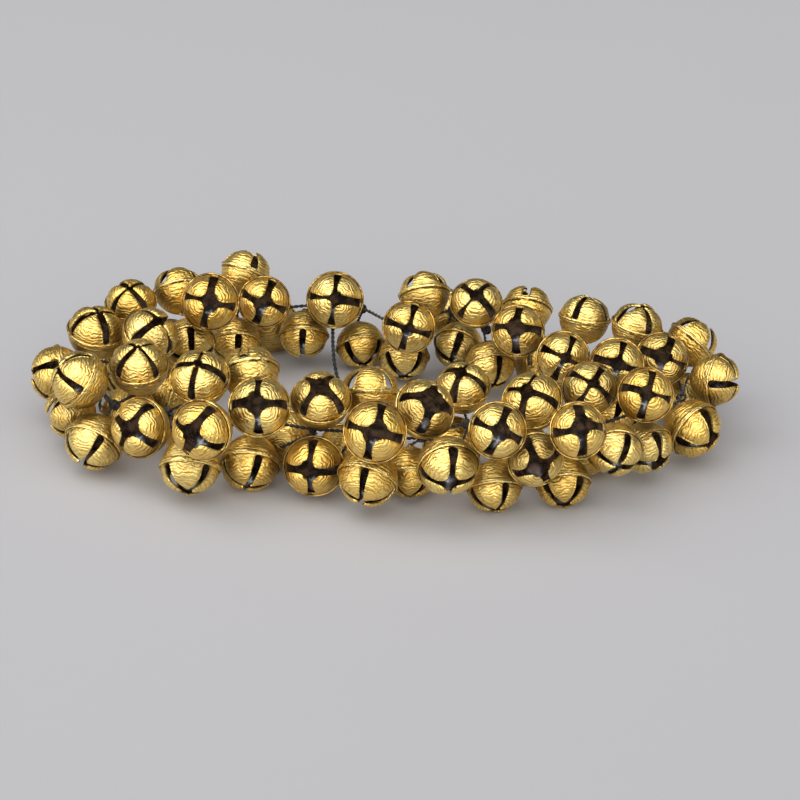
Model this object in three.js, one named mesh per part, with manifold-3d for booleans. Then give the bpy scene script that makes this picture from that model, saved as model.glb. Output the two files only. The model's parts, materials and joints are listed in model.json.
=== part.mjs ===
// A string of sheet-brass ankle bells laid down in a loop: petalled bells lashed in bunches to one core
// cord, a loose pellet in each bell, and the knot and tail where the two ends of the cord are tied.
// Millimetres, +Z up, +Y away from the viewer, with the origin on the floor under the middle of the bells.
import * as THREE from "three";
import { mergeVertices } from "three/addons/utils/BufferGeometryUtils.js";
import Module from "manifold-3d";

const wasm = await Module();
wasm.setup();

// The bells: two sizes of rim, one sheet
const LARGE = 22; // rim diameter
const SMALL = 20; // rim diameter
const SHEET = 1; // wall
const PETALS = 4;
const SLOT = 3.6; // width of the slot between two petals, at its widest
const SLOT_AT_TIPS = 1.8; // its width beside the petals' tips
const SHANK = 2.4; // width of the eyelet's shank at the back of a bell
const SHANK_LENGTH = 1.6; // how far it stands out
const WORN_FLAT = 0.5; // depth of the flat on the bells that stand on the floor

// Outline of a bell from its back to its petals' tips, as shares of the rim's radius
const BACK_RING = { out: 0.77, up: -0.64 };
const RIM_RING = { out: 1, up: 0 };
const PETAL_RING = { out: 0.74, up: 0.61 };
const TIP_SIDE = { out: 0.34, up: 0.82 };
const TIP_END = { out: 0.17, up: 0.86 };

// The pellets, the cord and what ties the bells to it
const PELLET = 6.4; // diameter
const PELLET_SIDES = 6;
const PELLET_ROWS = 4;
const DROP_STEP = 0.05; // in finding where a pellet rests
const CORD = 1.4; // diameter
const CORD_STEPS = 84;
const CORD_SIDES = 8;
const THREAD = 1.6; // width of the lashing from a shank to its bunch's knot
const THREAD_SIDES = 3;
const THREAD_STEPS = 2; // from one of its points to the next
const THREAD_BEND = 30; // degrees between two of its points where it runs round a bell's back
const KNOT_WALL = 1.2; // of a bunch's knot, round the cord
const KNOT_LENGTH = 2.6; // along the cord
const KNOT_SIDES = 6;
const TIE = 6.4; // diameter of the knot that closes the loop
const TIE_SIDES = 8;
const TIE_ROWS = 6;
const TIE_PLACE = [-21.8, 73, 24.3];
const TAIL = 1.6; // diameter of the loose end
const TAIL_STEPS = 14;
const TAIL_POINTS = [
  [-25.5, 66, 20.5], [-26, 60, 18], [-25.8, 55.5, 13.5], [-25.2, 52.5, 8.5], [-24, 50, 3.6],
  [-22, 46.5, 1.7], [-18.5, 42.5, 1.5], [-14, 39.5, 1.5],
];

// Clearances
const BELL_GAP = 1.8; // aimed at between neighbouring bells
const STRING_GAP = 0.8; // from a bell to the cord, a knot or another bell's thread
const RUNNING_GAP = 0.4; // round the cord, inside a bunch's knot
const SEAT_GAP = 0.3; // between pieces that touch
const NEAR_FLOOR = 1.5; // a bell that ends up as near as this stands on the floor

// The view in which the bells' places were read, level with +X and looking along +Y and down
const VIEW_DOWN = 27; // degrees
const VIEW_DISTANCE = 953;
const VIEW_AIM = [0, 0, 20]; // the point in the middle of the picture
const FOCAL_PIXELS = 2600;
const MIDDLE_PIXEL = 400;

// The bunches in the order of the cord, each with the place of its knot. A bell that shows has the pixel of
// its middle and a first height, and one out of sight has a first place. Azimuth and elevation say where its
// mouth faces, and turn is about that axis. A, B, C and D are the left, back, front and right of the loop,
// and H is out of sight.
const BUNCHES = {
  back_1: {
    knot: [-31, 74, 24],
    bells: {
      B20: { size: LARGE, pixelX: 335, pixelY: 300, height: 32, azimuth: -90, elevation: 27, turn: 37 },
      B19: { size: SMALL, pixelX: 304, pixelY: 334, height: 14, azimuth: -90, elevation: -45, turn: 45 },
    },
  },
  back_2: {
    knot: [-51, 71, 24],
    bells: {
      B16: { size: SMALL, pixelX: 264, pixelY: 302, height: 33, azimuth: -85, elevation: 25, turn: 20 },
      H5: { size: LARGE, place: [-50, 84, 12], azimuth: 80, elevation: -20, turn: 0 },
    },
  },
  back_3: {
    knot: [-63, 70, 25],
    bells: {
      B15: { size: SMALL, pixelX: 246, pixelY: 272, height: 37, azimuth: 60, elevation: 50, turn: 0 },
      B17: { size: SMALL, pixelX: 236, pixelY: 342, height: 13, azimuth: -90, elevation: -40, turn: 35 },
    },
  },
  left_1: {
    knot: [-79, 57, 25],
    bells: {
      A14: { size: LARGE, pixelX: 210, pixelY: 303, height: 33, azimuth: -95, elevation: 30, turn: 35 },
      A13: { size: SMALL, pixelX: 190, pixelY: 343, height: 22, azimuth: -80, elevation: -20, turn: 45 },
      A7: { size: SMALL, pixelX: 178, pixelY: 290, height: 35, azimuth: 106, elevation: 43, turn: 0 },
      H4: { size: LARGE, place: [-88, 66, 11], azimuth: 135, elevation: -25, turn: 30 },
    },
  },
  left_2: {
    knot: [-100, 44, 23],
    bells: {
      A4: { size: SMALL, pixelX: 131, pixelY: 303, height: 36, azimuth: -90, elevation: 71, turn: 0 },
      H1: { size: LARGE, place: [-108, 38, 11], azimuth: 160, elevation: -20, turn: 20 },
    },
  },
  left_3: {
    knot: [-105, 27, 22],
    bells: {
      A3: { size: LARGE, pixelX: 95, pixelY: 333, height: 33, azimuth: -36, elevation: 76, turn: 20 },
      A6: { size: LARGE, pixelX: 150, pixelY: 335, height: 33, azimuth: -37, elevation: 56, turn: 45 },
      H16: { size: SMALL, place: [-88, 24, 10], azimuth: 0, elevation: -20, turn: 0 },
    },
  },
  left_4: {
    knot: [-110, 12, 21],
    bells: {
      A1: { size: LARGE, pixelX: 58, pixelY: 373, height: 23, azimuth: -165, elevation: 10, turn: 0 },
      A15: { size: SMALL, pixelX: 70, pixelY: 412, height: 12, azimuth: -165, elevation: -20, turn: 20 },
      H2: { size: LARGE, place: [-97, 8, 11], azimuth: 10, elevation: -15, turn: 40 },
    },
  },
  left_5: {
    knot: [-104, -6, 21],
    bells: {
      A2: { size: LARGE, pixelX: 79, pixelY: 382, height: 29, azimuth: -162, elevation: 38, turn: 45 },
      A8: { size: LARGE, pixelX: 93, pixelY: 440, height: 11, azimuth: -114, elevation: -29, turn: 5 },
      A5: { size: LARGE, pixelX: 139, pixelY: 366, height: 34, azimuth: -90, elevation: 76, turn: 0 },
    },
  },
  left_6: {
    knot: [-84, -14, 22],
    bells: {
      A9: { size: LARGE, pixelX: 140, pixelY: 428, height: 20, azimuth: -120, elevation: 24, turn: 22 },
      A12: { size: LARGE, pixelX: 200, pixelY: 378, height: 35, azimuth: -95, elevation: 60, turn: 35 },
      H3: { size: LARGE, place: [-76, -13, 11], azimuth: 60, elevation: -20, turn: 15 },
    },
  },
  front_1: {
    knot: [-70, -32, 25],
    bells: {
      A10: { size: LARGE, pixelX: 202, pixelY: 430, height: 30, azimuth: -111, elevation: 12, turn: 20 },
      A11: { size: LARGE, pixelX: 191, pixelY: 467, height: 11, azimuth: -95, elevation: -45, turn: 0 },
    },
  },
  front_2: {
    knot: [-50, -23, 23],
    bells: {
      C24: { size: LARGE, pixelX: 260, pixelY: 407, height: 34, azimuth: -90, elevation: 40, turn: 45 },
      C64: { size: LARGE, pixelX: 249, pixelY: 465, height: 11, azimuth: -95, elevation: -35, turn: 20 },
      C23: { size: LARGE, pixelX: 250, pixelY: 372, height: 32, azimuth: 100, elevation: 35, turn: 30 },
    },
  },
  front_3: {
    knot: [-31, -25, 21],
    bells: {
      C25: { size: LARGE, pixelX: 320, pixelY: 402, height: 33, azimuth: -85, elevation: 65, turn: 0 },
      C62: { size: LARGE, pixelX: 315, pixelY: 464, height: 14, azimuth: -95, elevation: 15, turn: 45 },
      H14: { size: LARGE, place: [-40, -12, 11], azimuth: 80, elevation: -10, turn: 25 },
    },
  },
  front_4: {
    knot: [-17, -29, 22],
    bells: {
      C26: { size: LARGE, pixelX: 370, pixelY: 392, height: 30, azimuth: 90, elevation: 60, turn: 0 },
      H13: { size: SMALL, place: [-20, -18, 10], azimuth: 80, elevation: -15, turn: 30 },
    },
  },
  front_5: {
    knot: [-6, -39, 25],
    bells: {
      C27: { size: LARGE, pixelX: 375, pixelY: 432, height: 33, azimuth: -90, elevation: 27, turn: 30 },
      C60: { size: LARGE, pixelX: 368, pixelY: 478, height: 11, azimuth: -110, elevation: -35, turn: 35 },
    },
  },
  front_6: {
    knot: [8, -33, 22],
    bells: {
      C52: { size: LARGE, pixelX: 448, pixelY: 466, height: 22, azimuth: -80, elevation: -15, turn: 40 },
      C28: { size: LARGE, pixelX: 426, pixelY: 413, height: 34, azimuth: -60, elevation: 45, turn: 10 },
      C61: { size: SMALL, pixelX: 411, pixelY: 472, height: 11, azimuth: -90, elevation: -50, turn: 0 },
    },
  },
  front_7: {
    knot: [24, -25, 23],
    bells: {
      C39: { size: SMALL, pixelX: 463, pixelY: 388, height: 34, azimuth: -100, elevation: 70, turn: 30 },
      H12: { size: LARGE, place: [22, -20, 11], azimuth: 100, elevation: -15, turn: 10 },
    },
  },
  front_8: {
    knot: [34, -46, 26],
    bells: {
      C51: { size: SMALL, pixelX: 498, pixelY: 431, height: 33, azimuth: -90, elevation: 27, turn: 20 },
      C53: { size: SMALL, pixelX: 495, pixelY: 488, height: 11, azimuth: -85, elevation: -45, turn: 25 },
    },
  },
  front_9: {
    knot: [47, -41, 25],
    bells: {
      C54: { size: SMALL, pixelX: 535, pixelY: 459, height: 26, azimuth: -80, elevation: 10, turn: -20 },
      C50: { size: LARGE, pixelX: 532, pixelY: 402, height: 36, azimuth: -110, elevation: 50, turn: 40 },
      H11: { size: LARGE, place: [44, -20, 11], azimuth: 90, elevation: -10, turn: 0 },
    },
  },
  front_10: {
    knot: [58, -38, 25],
    bells: {
      C55: { size: SMALL, pixelX: 577, pixelY: 431, height: 32, azimuth: -80, elevation: 30, turn: 45 },
      C56: { size: SMALL, pixelX: 563, pixelY: 483, height: 11, azimuth: -85, elevation: -40, turn: 10 },
    },
  },
  right_1: {
    knot: [70, -26, 23],
    bells: {
      D49: { size: SMALL, pixelX: 591, pixelY: 393, height: 35, azimuth: -90, elevation: 40, turn: 10 },
      H10: { size: LARGE, place: [66, -22, 10], azimuth: 90, elevation: -15, turn: 35 },
      D57: { size: SMALL, pixelX: 615, pixelY: 450, height: 15, azimuth: -85, elevation: -15, turn: 20 },
    },
  },
  right_2: {
    knot: [86, -19, 25],
    bells: {
      D48: { size: SMALL, pixelX: 645, pixelY: 395, height: 34, azimuth: -90, elevation: 35, turn: 30 },
      D58: { size: SMALL, pixelX: 647, pixelY: 447, height: 15, azimuth: -60, elevation: -20, turn: 45 },
    },
  },
  right_3: {
    knot: [103, 0, 21],
    bells: {
      D46: { size: SMALL, pixelX: 715, pixelY: 380, height: 28, azimuth: -30, elevation: 5, turn: 30 },
      D47: { size: LARGE, pixelX: 692, pixelY: 427, height: 14, azimuth: -50, elevation: -15, turn: 45 },
    },
  },
  right_4: {
    knot: [98, 21, 23],
    bells: {
      D44: { size: SMALL, pixelX: 663, pixelY: 360, height: 33, azimuth: -85, elevation: 30, turn: 20 },
      D45: { size: SMALL, pixelX: 692, pixelY: 342, height: 30, azimuth: 30, elevation: 40, turn: 45 },
      H8: { size: LARGE, place: [104, 22, 10], azimuth: 40, elevation: -20, turn: 10 },
    },
  },
  right_5: {
    knot: [82, 19, 25],
    bells: {
      D43: { size: SMALL, pixelX: 617, pixelY: 365, height: 32, azimuth: -95, elevation: 25, turn: 30 },
      D42: { size: SMALL, pixelX: 637, pixelY: 326, height: 36, azimuth: 20, elevation: 75, turn: 45 },
      H9: { size: SMALL, place: [78, 7, 10], azimuth: -100, elevation: -15, turn: 20 },
    },
  },
  right_6: {
    knot: [67, 30, 24],
    bells: {
      D40: { size: SMALL, pixelX: 563, pixelY: 358, height: 30, azimuth: -90, elevation: 25, turn: 20 },
      D41: { size: SMALL, pixelX: 585, pixelY: 318, height: 36, azimuth: 60, elevation: 75, turn: 45 },
      H6: { size: LARGE, place: [80, 40, 10], azimuth: 60, elevation: -20, turn: 30 },
    },
  },
  right_7: {
    knot: [49, 45, 24],
    bells: {
      D37: { size: SMALL, pixelX: 518, pixelY: 331, height: 34, azimuth: -90, elevation: 35, turn: 40 },
      D36: { size: SMALL, pixelX: 527, pixelY: 308, height: 28, azimuth: 80, elevation: 40, turn: 45 },
      H7: { size: LARGE, place: [54, 51, 10], azimuth: 60, elevation: -20, turn: 0 },
    },
  },
  back_4: {
    knot: [33, 52, 24],
    bells: {
      B34: { size: SMALL, pixelX: 476, pixelY: 303, height: 36, azimuth: -90, elevation: 50, turn: 0 },
      D38: { size: SMALL, pixelX: 490, pixelY: 366, height: 15, azimuth: -80, elevation: -35, turn: 30 },
    },
  },
  back_5: {
    knot: [20, 66, 25],
    bells: {
      B32: { size: SMALL, pixelX: 457, pixelY: 345, height: 16, azimuth: -110, elevation: -20, turn: 30 },
      B35: { size: SMALL, pixelX: 446, pixelY: 312, height: 25, azimuth: 90, elevation: 10, turn: 0 },
    },
  },
  back_6: {
    knot: [4, 53, 25],
    bells: {
      B29: { size: SMALL, pixelX: 409, pixelY: 327, height: 30, azimuth: -95, elevation: 20, turn: 30 },
      B31: { size: SMALL, pixelX: 406, pixelY: 356, height: 11, azimuth: -90, elevation: -40, turn: 0 },
      B30: { size: SMALL, pixelX: 423, pixelY: 298, height: 34, azimuth: 100, elevation: 45, turn: 0 },
    },
  },
  back_7: {
    knot: [-15, 71, 24],
    bells: {
      B21: { size: SMALL, pixelX: 361, pixelY: 343, height: 12, azimuth: -80, elevation: -40, turn: 0 },
    },
  },
};

// Pairs of bells of which the first hides a part of the second
const IN_FRONT = [
  ["C27", "C26"], ["C60", "C61"], ["C52", "C61"], ["C28", "C26"], ["C27", "C28"], ["C51", "C54"],
  ["C54", "C56"], ["C55", "C54"], ["C51", "C50"], ["A10", "A11"], ["A2", "A1"], ["A5", "A6"],
  ["A12", "A13"], ["D57", "D58"], ["D48", "D58"], ["D43", "D42"], ["D44", "D45"], ["D40", "D41"],
  ["D37", "D36"], ["B29", "B30"], ["B29", "B31"], ["B16", "B15"], ["A14", "A7"], ["B34", "B35"],
  ["D49", "D40"], ["D48", "D43"], ["C28", "C39"], ["C51", "C39"], ["C62", "C64"], ["C24", "C25"],
  ["C55", "C56"], ["B20", "B19"], ["B20", "B21"], ["B16", "B17"], ["D37", "D38"], ["D46", "D44"],
  ["C54", "C53"], ["C24", "C23"],
];
const IN_FRONT_BY = 2; // least step in depth between the two

// Bunches with no pellet that shows
const PELLET_HIDDEN = ["back_3", "left_2", "front_4"];

// How the bells settle: the share of each fault that one round puts right
const ROUNDS = 2500;
const PART_SHARE = 0.25;
const ORDER_SHARE = 0.06;
const STRING_SHARE = 0.3;
const SIGHT_SHARE = 0.08;
const START_SHARE = 0.002;
const STRING_SAMPLES = 240;

const MATERIALS = {
  brass: new THREE.MeshStandardMaterial({ color: 0xc49e46, roughness: 0.38, metalness: 1 }),
  iron: new THREE.MeshStandardMaterial({ color: 0x78787d, roughness: 0.45, metalness: 1 }),
  cord: new THREE.MeshStandardMaterial({ color: 0x2a2b30, roughness: 0.9, metalness: 0 }),
};

const UP = new THREE.Vector3(0, 0, 1);
const radians = THREE.MathUtils.degToRad;
const vector = (place) => new THREE.Vector3(...place);

// Solids

// A closed geometry as a solid that can be joined and cut.
function solid(geometry) {
  const bare = geometry.clone();
  bare.deleteAttribute("normal");
  bare.deleteAttribute("uv");
  const { attributes, index } = mergeVertices(bare);
  const mesh = new wasm.Mesh({
    numProp: 3,
    vertProperties: new Float32Array(attributes.position.array),
    triVerts: new Uint32Array(index.array),
  });
  return new wasm.Manifold(mesh);
}

// A solid as a geometry.
function geometryOf(made) {
  const { vertProperties, triVerts } = made.getMesh();
  return new THREE.BufferGeometry()
    .setAttribute("position", new THREE.BufferAttribute(vertProperties, 3))
    .setIndex(new THREE.BufferAttribute(triVerts, 1));
}

// A rod of even section between two points.
function rod(from, to, width, sides) {
  const along = to.clone().sub(from);
  const turn = new THREE.Quaternion().setFromUnitVectors(UP, along.clone().normalize());
  const middle = from.clone().add(to).multiplyScalar(0.5);
  return new THREE.CylinderGeometry(width / 2, width / 2, along.length(), sides)
    .rotateX(Math.PI / 2)
    .applyQuaternion(turn)
    .translate(middle.x, middle.y, middle.z);
}

// A tube along a curve, with closed ends.
function tube(curve, diameter, steps, sides = CORD_SIDES) {
  const corners = Array.from({ length: sides }, (_, i) => {
    const angle = (2 * Math.PI * i) / sides;
    return new THREE.Vector2(Math.cos(angle), Math.sin(angle)).multiplyScalar(diameter / 2);
  });
  return new THREE.ExtrudeGeometry(new THREE.Shape(corners), { steps, extrudePath: curve });
}

// One bell, with its mouth to +Z

// A point of a bell's outer surface, at an angle about its axis.
function ringPoint(radius, ring, angle) {
  const out = radius * ring.out;
  return new THREE.Vector3(out * Math.cos(angle), out * Math.sin(angle), radius * ring.up);
}

// The outer surface: a round back, and petals with slots between them that open from the rim.
function bellSurface(radius) {
  const points = [new THREE.Vector3(0, 0, -radius)];
  const triangles = [];
  const add = (point) => points.push(point) - 1;
  const quad = (a, b, c, d) => triangles.push([a, b, c], [a, c, d]);
  const half = Math.PI / PETALS;
  const around = 2 * PETALS;
  const ring = (shape) => Array.from({ length: around }, (_, i) => add(ringPoint(radius, shape, i * half)));
  const back = ring(BACK_RING);
  const rim = ring(RIM_RING);
  for (let i = 0; i < around; i++) {
    const next = (i + 1) % around;
    triangles.push([0, back[next], back[i]]);
    quad(back[i], back[next], rim[next], rim[i]);
  }
  const reach = half - Math.asin(SLOT / 2 / (radius * PETAL_RING.out));
  const tipReach = half - Math.asin(SLOT_AT_TIPS / 2 / (radius * TIP_SIDE.out));
  for (let petal = 0; petal < PETALS; petal++) {
    const angle = 2 * petal * half;
    const sides = [-1, 0, 1];
    const rims = sides.map((side) => rim[(2 * petal + side + around) % around]);
    const mids = sides.map((side) => add(ringPoint(radius, PETAL_RING, angle + side * reach)));
    const tips = sides.map((side) =>
      add(ringPoint(radius, side ? TIP_SIDE : TIP_END, angle + side * tipReach)),
    );
    for (const i of [0, 1]) {
      quad(rims[i], rims[i + 1], mids[i + 1], mids[i]);
      quad(mids[i], mids[i + 1], tips[i + 1], tips[i]);
    }
  }
  return { points, triangles, back };
}

// The points of the inner face of the sheet.
function innerPoints(radius, points) {
  return points.map((point) => point.clone().multiplyScalar((radius - SHEET) / radius));
}

// The shank's faces, which take the place of the middle of the back: first is the number of its first point
// and back lists the points of the back's ring.
function shank(radius, first, back) {
  const foot = -radius * (1 + (SHANK / 2 / (radius * BACK_RING.out)) * (-1 - BACK_RING.up));
  const points = [foot, -(radius + SHANK_LENGTH)].flatMap((z) =>
    Array.from({ length: PETALS }, (_, i) => {
      const angle = (2 * Math.PI * i) / PETALS;
      return new THREE.Vector3((SHANK / 2) * Math.cos(angle), (SHANK / 2) * Math.sin(angle), z);
    }),
  );
  const triangles = [];
  for (let i = 0; i < PETALS; i++) {
    const next = (i + 1) % PETALS;
    const [low, lowNext, end, endNext] = [i, next, i + PETALS, next + PETALS].map((n) => n + first);
    const [from, over, to] = [back[2 * i], back[2 * i + 1], back[2 * next]];
    triangles.push([low, over, from], [low, lowNext, over], [lowNext, to, over]);
    triangles.push([low, end, endNext], [low, endNext, lowNext]);
    if (i > 0 && next > 0) triangles.push([first + PETALS, endNext, end]);
  }
  return { points, triangles };
}

// A bell as a closed geometry: the outer face with its shank, the inner face and walls along every free edge.
function bellShell(radius) {
  const { points, triangles, back } = bellSurface(radius);
  const inner = points.length;
  const stem = shank(radius, 2 * inner, back);
  const outside = triangles.filter(([first]) => first !== 0);
  const inside = triangles.map(([a, b, c]) => [a + inner, c + inner, b + inner]);
  const faces = [...outside, ...stem.triangles, ...inside];
  const edges = new Set(triangles.flatMap(([a, b, c]) => [`${a} ${b}`, `${b} ${c}`, `${c} ${a}`]));
  for (const edge of edges) {
    const [a, b] = edge.split(" ").map(Number);
    if (!edges.has(`${b} ${a}`)) faces.push([b, a, a + inner], [b, a + inner, b + inner]);
  }
  return new THREE.BufferGeometry()
    .setFromPoints([...points, ...innerPoints(radius, points), ...stem.points])
    .setIndex(faces.flat());
}

// Places: the sight lines of the picture

const AHEAD = new THREE.Vector3(0, Math.cos(radians(VIEW_DOWN)), -Math.sin(radians(VIEW_DOWN)));
const VIEW_RIGHT = new THREE.Vector3(1, 0, 0);
const VIEW_UP = new THREE.Vector3().crossVectors(VIEW_RIGHT, AHEAD);
const EYE = vector(VIEW_AIM).addScaledVector(AHEAD, -VIEW_DISTANCE);

// The direction from the eye through a pixel.
function sightLine(pixelX, pixelY) {
  return AHEAD.clone()
    .addScaledVector(VIEW_RIGHT, (pixelX - MIDDLE_PIXEL) / FOCAL_PIXELS)
    .addScaledVector(VIEW_UP, (MIDDLE_PIXEL - pixelY) / FOCAL_PIXELS)
    .normalize();
}

// A bell at its first place, with the way that it is turned.
function bellOf(label, reading, knot) {
  const { size, azimuth, elevation, turn } = reading;
  const radius = size / 2;
  const level = Math.cos(radians(elevation));
  const faces = new THREE.Vector3(
    level * Math.cos(radians(azimuth)), level * Math.sin(radians(azimuth)), Math.sin(radians(elevation)),
  );
  const across = UP.clone().cross(faces).normalize();
  const pose = new THREE.Matrix4()
    .makeBasis(across, faces.clone().cross(across), faces)
    .multiply(new THREE.Matrix4().makeRotationZ(radians(turn)));
  const corners = bellSurface(radius).points.map((point) => point.applyMatrix4(pose).z);
  const below = -Math.min(...corners);
  const bell = { label, radius, below, faces, pose, knot, sight: null, move: new THREE.Vector3() };
  if (reading.place) {
    bell.middle = vector(reading.place);
  } else {
    bell.sight = sightLine(reading.pixelX, reading.pixelY);
    const height = Math.max(reading.height, radius);
    bell.middle = EYE.clone().addScaledVector(bell.sight, (height - EYE.z) / bell.sight.z);
  }
  bell.start = bell.middle.clone();
  return bell;
}

// The end of the shank at the back of a bell.
function shankEnd(bell) {
  return bell.middle.clone().addScaledVector(bell.faces, -(bell.radius + SHANK_LENGTH));
}

const bunches = Object.entries(BUNCHES).map(([name, { knot, bells }]) => {
  const at = vector(knot);
  return { name, knot: at, bells: Object.entries(bells).map(([label, row]) => bellOf(label, row, at)) };
});
const allBells = bunches.flatMap((bunch) => bunch.bells);
const byLabel = new Map(allBells.map((bell) => [bell.label, bell]));

// The cord, its tie and its tail

const tie = vector(TIE_PLACE);
const tieSide = new THREE.Vector3(TIE / 2 + SEAT_GAP, 0, 0);
const tailStart = new THREE.Vector3(0, -1, -1).setLength(TIE / 2 + SEAT_GAP).add(tie);
const cordCurve = new THREE.CatmullRomCurve3([
  tie.clone().sub(tieSide), ...bunches.map((bunch) => bunch.knot), tie.clone().add(tieSide),
]);
const tailCurve = new THREE.CatmullRomCurve3([tailStart, ...TAIL_POINTS.map(vector)]);

// Settling: bells move apart, off the strings and back to their sight lines, a little in each round

const boreWidth = (CORD + 2 * RUNNING_GAP) / Math.cos(Math.PI / KNOT_SIDES);
const knotWidth = (CORD + 2 * RUNNING_GAP + 2 * KNOT_WALL) / Math.cos(Math.PI / KNOT_SIDES);
const knotReach = Math.hypot(knotWidth, KNOT_LENGTH) / 2;
const cordPoints = cordCurve.getSpacedPoints(STRING_SAMPLES);
const stringPoints = [...cordPoints, ...tailCurve.getSpacedPoints(TAIL_STEPS)];
const away = new THREE.Vector3();

function nearest(spot, points) {
  let best = points[0];
  for (const point of points) {
    if (spot.distanceToSquared(point) < spot.distanceToSquared(best)) best = point;
  }
  return best;
}

// Parts bells that are nearer than the gap, and those that show rather in depth than across the view.
function partNeighbours() {
  allBells.forEach((a, i) => {
    for (let j = i + 1; j < allBells.length; j++) {
      const b = allBells[j];
      const need = a.radius + b.radius + BELL_GAP;
      if (a.middle.distanceToSquared(b.middle) >= need * need) continue;
      const lacking = need - a.middle.distanceTo(b.middle);
      away.subVectors(a.middle, b.middle).normalize();
      if (a.sight && b.sight) away.addScaledVector(AHEAD, away.dot(AHEAD)).normalize();
      a.move.addScaledVector(away, PART_SHARE * lacking);
      b.move.addScaledVector(away, -PART_SHARE * lacking);
    }
  });
}

// Keeps the first bell of each pair nearer to the eye than the second.
function keepOrder() {
  for (const [front, back] of IN_FRONT.map((pair) => pair.map((label) => byLabel.get(label)))) {
    const lacking = IN_FRONT_BY - away.subVectors(back.middle, front.middle).dot(AHEAD);
    if (lacking <= 0) continue;
    front.move.addScaledVector(AHEAD, -ORDER_SHARE * lacking);
    back.move.addScaledVector(AHEAD, ORDER_SHARE * lacking);
  }
}

// Moves a bell so that a spot of it keeps a clearance from a point.
function pushOff(bell, spot, point, clearance) {
  const lacking = clearance - spot.distanceTo(point);
  if (lacking <= 0) return;
  away.subVectors(spot, point).normalize();
  bell.move.addScaledVector(away, STRING_SHARE * lacking);
}

// Keeps a bell and its shank off the cord, the tail and the knots, and off the threads of other bells.
function keepOffStrings() {
  const threads = allBells.map((bell) => ({ owner: bell, line: new THREE.Line3(bell.knot, shankEnd(bell)) }));
  const foot = new THREE.Vector3();
  for (const bell of allBells) {
    const end = shankEnd(bell);
    pushOff(bell, bell.middle, nearest(bell.middle, stringPoints), bell.radius + CORD / 2 + STRING_GAP);
    pushOff(bell, end, nearest(end, cordPoints), CORD / 2 + RUNNING_GAP + SHANK / 2 + SEAT_GAP);
    for (const { knot } of bunches) pushOff(bell, bell.middle, knot, bell.radius + knotReach + STRING_GAP);
    for (const { owner, line } of threads) {
      if (owner === bell) continue;
      line.closestPointToPoint(bell.middle, true, foot);
      pushOff(bell, bell.middle, foot, bell.radius + THREAD / 2 + STRING_GAP);
    }
  }
}

// Draws the bells back to their sight lines and first places.
function drawBack() {
  for (const bell of allBells) {
    bell.move.addScaledVector(away.subVectors(bell.start, bell.middle), START_SHARE);
    if (!bell.sight) continue;
    const depth = away.subVectors(bell.middle, EYE).dot(bell.sight);
    const foot = EYE.clone().addScaledVector(bell.sight, depth);
    bell.move.addScaledVector(foot.sub(bell.middle), SIGHT_SHARE);
  }
}

for (let round = 0; round < ROUNDS; round++) {
  partNeighbours();
  keepOrder();
  keepOffStrings();
  drawBack();
  for (const bell of allBells) {
    bell.middle.add(bell.move);
    bell.middle.z = Math.max(bell.middle.z, bell.radius);
    bell.move.set(0, 0, 0);
  }
}
for (const bell of allBells) {
  if (bell.middle.z < bell.below + NEAR_FLOOR) bell.middle.z = bell.below;
}

// The pieces

const root = new THREE.Group();

function place(name, geometry, material, at = new THREE.Vector3()) {
  const mesh = new THREE.Mesh(geometry, material);
  mesh.name = name;
  mesh.position.copy(at);
  root.add(mesh);
}

place("core_cord", tube(cordCurve, CORD, CORD_STEPS), MATERIALS.cord);
place("tie_knot", new THREE.SphereGeometry(TIE / 2, TIE_SIDES, TIE_ROWS), MATERIALS.cord, tie);
place("cord_tail", tube(tailCurve, TAIL, TAIL_STEPS), MATERIALS.cord);

const sleeve = solid(tube(cordCurve, boreWidth, CORD_STEPS, KNOT_SIDES));
const allRound = new THREE.Box3().setFromPoints(allBells.map((bell) => bell.middle)).expandByScalar(LARGE);
const floorSize = allRound.getSize(new THREE.Vector3());
const floorMiddle = allRound.getCenter(new THREE.Vector3());
const floor = solid(
  new THREE.BoxGeometry(...floorSize).translate(floorMiddle.x, floorMiddle.y, WORN_FLAT - floorSize.z / 2),
);

// The points of the lashing from a bell's shank to its bunch's knot, round the bell's back where that is in
// the way, and into the knot's wall on that side.
function threadPoints(bell, tangent) {
  const reach = bell.radius + SHANK_LENGTH;
  const back = bell.faces.clone().negate();
  const toKnot = bell.knot.clone().sub(bell.middle);
  const across = toKnot.clone().addScaledVector(back, -toKnot.dot(back)).normalize();
  const bend = toKnot.angleTo(back) - Math.acos(Math.min(1, reach / toKnot.length()));
  const count = Math.max(0, Math.ceil(bend / radians(THREAD_BEND)));
  const points = [bell.middle.clone().addScaledVector(back, reach - THREAD / 2)];
  for (let i = 1; i <= count; i++) {
    const angle = (bend * i) / count;
    points.push(
      bell.middle.clone()
        .addScaledVector(back, reach * Math.cos(angle))
        .addScaledVector(across, reach * Math.sin(angle)),
    );
  }
  const side = points.at(-1).clone().sub(bell.knot);
  side.addScaledVector(tangent, -side.dot(tangent)).setLength((boreWidth + KNOT_WALL) / 2);
  return [...points, side.add(bell.knot)];
}

function thread(bell, tangent) {
  const points = threadPoints(bell, tangent);
  const curve = new THREE.CatmullRomCurve3(points);
  return solid(tube(curve, THREAD, THREAD_STEPS * (points.length - 1), THREAD_SIDES));
}

// The bells of a bunch with their threads and knot, clear of the cord that runs through the knot.
function bunchGeometry(bunch, tangent) {
  const ends = [-KNOT_LENGTH / 2, KNOT_LENGTH / 2].map((length) =>
    bunch.knot.clone().addScaledVector(tangent, length),
  );
  let made = solid(rod(...ends, knotWidth, KNOT_SIDES));
  for (const bell of bunch.bells) {
    const pose = bell.pose.clone().setPosition(bell.middle);
    made = made.add(solid(bellShell(bell.radius).applyMatrix4(pose))).add(thread(bell, tangent));
  }
  return geometryOf(made.subtract(sleeve).subtract(floor));
}

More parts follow.
